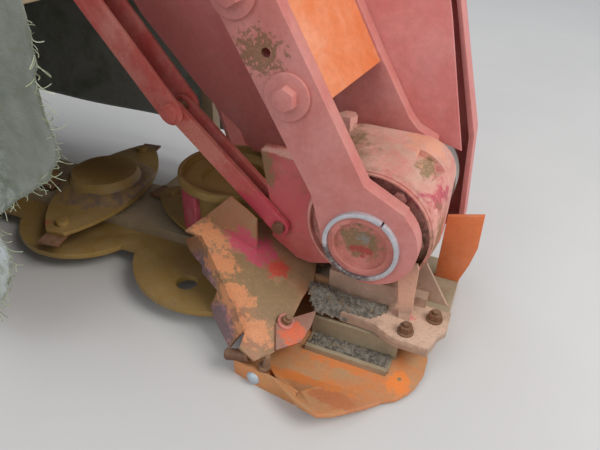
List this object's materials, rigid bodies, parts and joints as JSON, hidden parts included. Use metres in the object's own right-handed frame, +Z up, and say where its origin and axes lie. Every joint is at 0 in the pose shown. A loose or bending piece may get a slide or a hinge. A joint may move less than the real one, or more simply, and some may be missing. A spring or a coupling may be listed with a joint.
{
  "type": "disc mower",
  "caption": "Mounted disc mower with its belt-driven carrying frame folded upright over the cutter bar, which lies flat on its skids.",
  "frame": {"origin": "on the floor under the middle of the machine's box", "axes": "+X towards the tractor side and along the cutter bar, +Y away from the driving direction, +Z up"},
  "size_m": [1.99, 1.0106, 1.4101],
  "materials": {
    "dusty_iron": "dusty",
    "worn_disc": "worn, dirty",
    "blade_steel": "rusty",
    "bare_steel": "dull",
    "bush_metal": "satin",
    "curtain_cloth": "faded cloth",
    "cast_red": "faded",
    "orange_paint": "faded",
    "guard_paint": "faded",
    "red_paint": "faded"
  },
  "bodies": {
    "cutter_bar": {"bar_bed": "dusty_iron", "bar_skids": "dusty_iron", "stone_guards": "dusty_iron", "disc_hubs": "bare_steel", "inner_shoe": "orange_paint", "deflector": "red_paint", "corner_bracket": "orange_paint", "ledge_rails": "dusty_iron", "gearbox_base": "dusty_iron", "gearbox": "cast_red", "gearbox_flange": "cast_red", "pivot_pins": "red_paint", "lift_lug": "red_paint", "side_bracket": "orange_paint", "outer_shoe": "orange_paint", "swath_board": "orange_paint", "cover_frame": "red_paint", "curtain": "curtain_cloth"},
    "rotor_1": {"disc_1": "worn_disc", "drum_1": "worn_disc", "drum_vanes": "red_paint", "knives_1": "blade_steel"},
    "rotor_2": {"disc_2": "worn_disc", "knives_2": "blade_steel"},
    "rotor_3": {"disc_3": "worn_disc", "knives_3": "blade_steel"},
    "rotor_4": {"disc_4": "worn_disc", "knives_4": "blade_steel"},
    "rotor_5": {"disc_5": "worn_disc", "knives_5": "blade_steel", "cone_5": "worn_disc"},
    "carrying_frame": {"front_arm": "red_paint", "rear_arm": "red_paint", "spacer_plate": "orange_paint", "pivot_bush": "bush_metal", "arm_washers": "red_paint", "head_tube": "red_paint", "guard_front": "guard_paint", "guard_cover": "guard_paint", "lift_bracket": "red_paint"},
    "low_drive": {"low_pulley": "bare_steel"},
    "top_drive": {"top_pulley": "bare_steel", "input_shaft": "bare_steel"},
    "head": {"headstock": "red_paint", "mast": "red_paint", "hitch_pins": "bare_steel"},
    "links": {"lift_links": "red_paint", "link_pins": "bare_steel"},
    "rod": {"lift_channel": "red_paint", "lift_rod": "bare_steel"},
    "barrel": {"lift_barrel": "red_paint"}
  },
  "joints": [
    {"name": "fold", "type": "hinge", "parent": "cutter_bar", "child": "carrying_frame", "pos_m": [0.83, -0.14325, 0.21], "axis": [0, 1, 0], "range_deg": [0, 92]},
    {"name": "input_spin", "type": "hinge", "parent": "carrying_frame", "child": "top_drive", "pos_m": [0.37322, -0.20125, 0.98547], "axis": [0, 1, 0], "continuous": true},
    {"name": "low_pulley_spin", "type": "hinge", "parent": "cutter_bar", "child": "low_drive", "pos_m": [0.83, 0.00875, 0.21], "axis": [0, 1, 0], "continuous": true},
    {"name": "disc_1_spin", "type": "hinge", "parent": "cutter_bar", "child": "rotor_1", "pos_m": [0.53, -0.10125, 0.085], "axis": [0, 0, 1], "continuous": true},
    {"name": "disc_2_spin", "type": "hinge", "parent": "cutter_bar", "child": "rotor_2", "pos_m": [0.21, -0.10125, 0.085], "axis": [0, 0, 1], "continuous": true},
    {"name": "disc_3_spin", "type": "hinge", "parent": "cutter_bar", "child": "rotor_3", "pos_m": [-0.11, -0.10125, 0.085], "axis": [0, 0, 1], "continuous": true},
    {"name": "disc_4_spin", "type": "hinge", "parent": "cutter_bar", "child": "rotor_4", "pos_m": [-0.43, -0.10125, 0.085], "axis": [0, 0, 1], "continuous": true},
    {"name": "disc_5_spin", "type": "hinge", "parent": "cutter_bar", "child": "rotor_5", "pos_m": [-0.75, -0.10125, 0.085], "axis": [0, 0, 1], "continuous": true},
    {"name": "head_float", "type": "hinge", "parent": "carrying_frame", "child": "head", "pos_m": [0.37322, -0.30825, 0.98547], "axis": [0, 1, 0], "range_deg": [0, 15]},
    {"name": "link_swing", "type": "hinge", "parent": "cutter_bar", "child": "links", "pos_m": [0.675, -0.18525, 0.175], "axis": [0, 1, 0], "range_deg": [0, 66]},
    {"name": "barrel_swing", "type": "hinge", "parent": "carrying_frame", "child": "barrel", "pos_m": [0.09633, -0.18525, 0.80663], "axis": [0, 1, 0], "range_deg": [0, 5]},
    {"name": "rod_slide", "type": "slide", "parent": "barrel", "child": "rod", "axis": [0.6428, 0, -0.766], "range_m": [0, 0.277]}
  ],
  "couplings": [
    {"joint": "link_swing", "follows": "fold", "ratio": 0.717},
    {"joint": "barrel_swing", "follows": "fold", "ratio": 0.05},
    {"joint": "rod_slide", "follows": "fold", "m_per_rad": 0.172},
    {"joint": "low_pulley_spin", "follows": "input_spin", "ratio": 2.15},
    {"joint": "disc_1_spin", "follows": "input_spin", "ratio": 5.6},
    {"joint": "disc_2_spin", "follows": "input_spin", "ratio": -5.6},
    {"joint": "disc_3_spin", "follows": "input_spin", "ratio": 5.6},
    {"joint": "disc_4_spin", "follows": "input_spin", "ratio": -5.6},
    {"joint": "disc_5_spin", "follows": "input_spin", "ratio": 5.6}
  ]
}
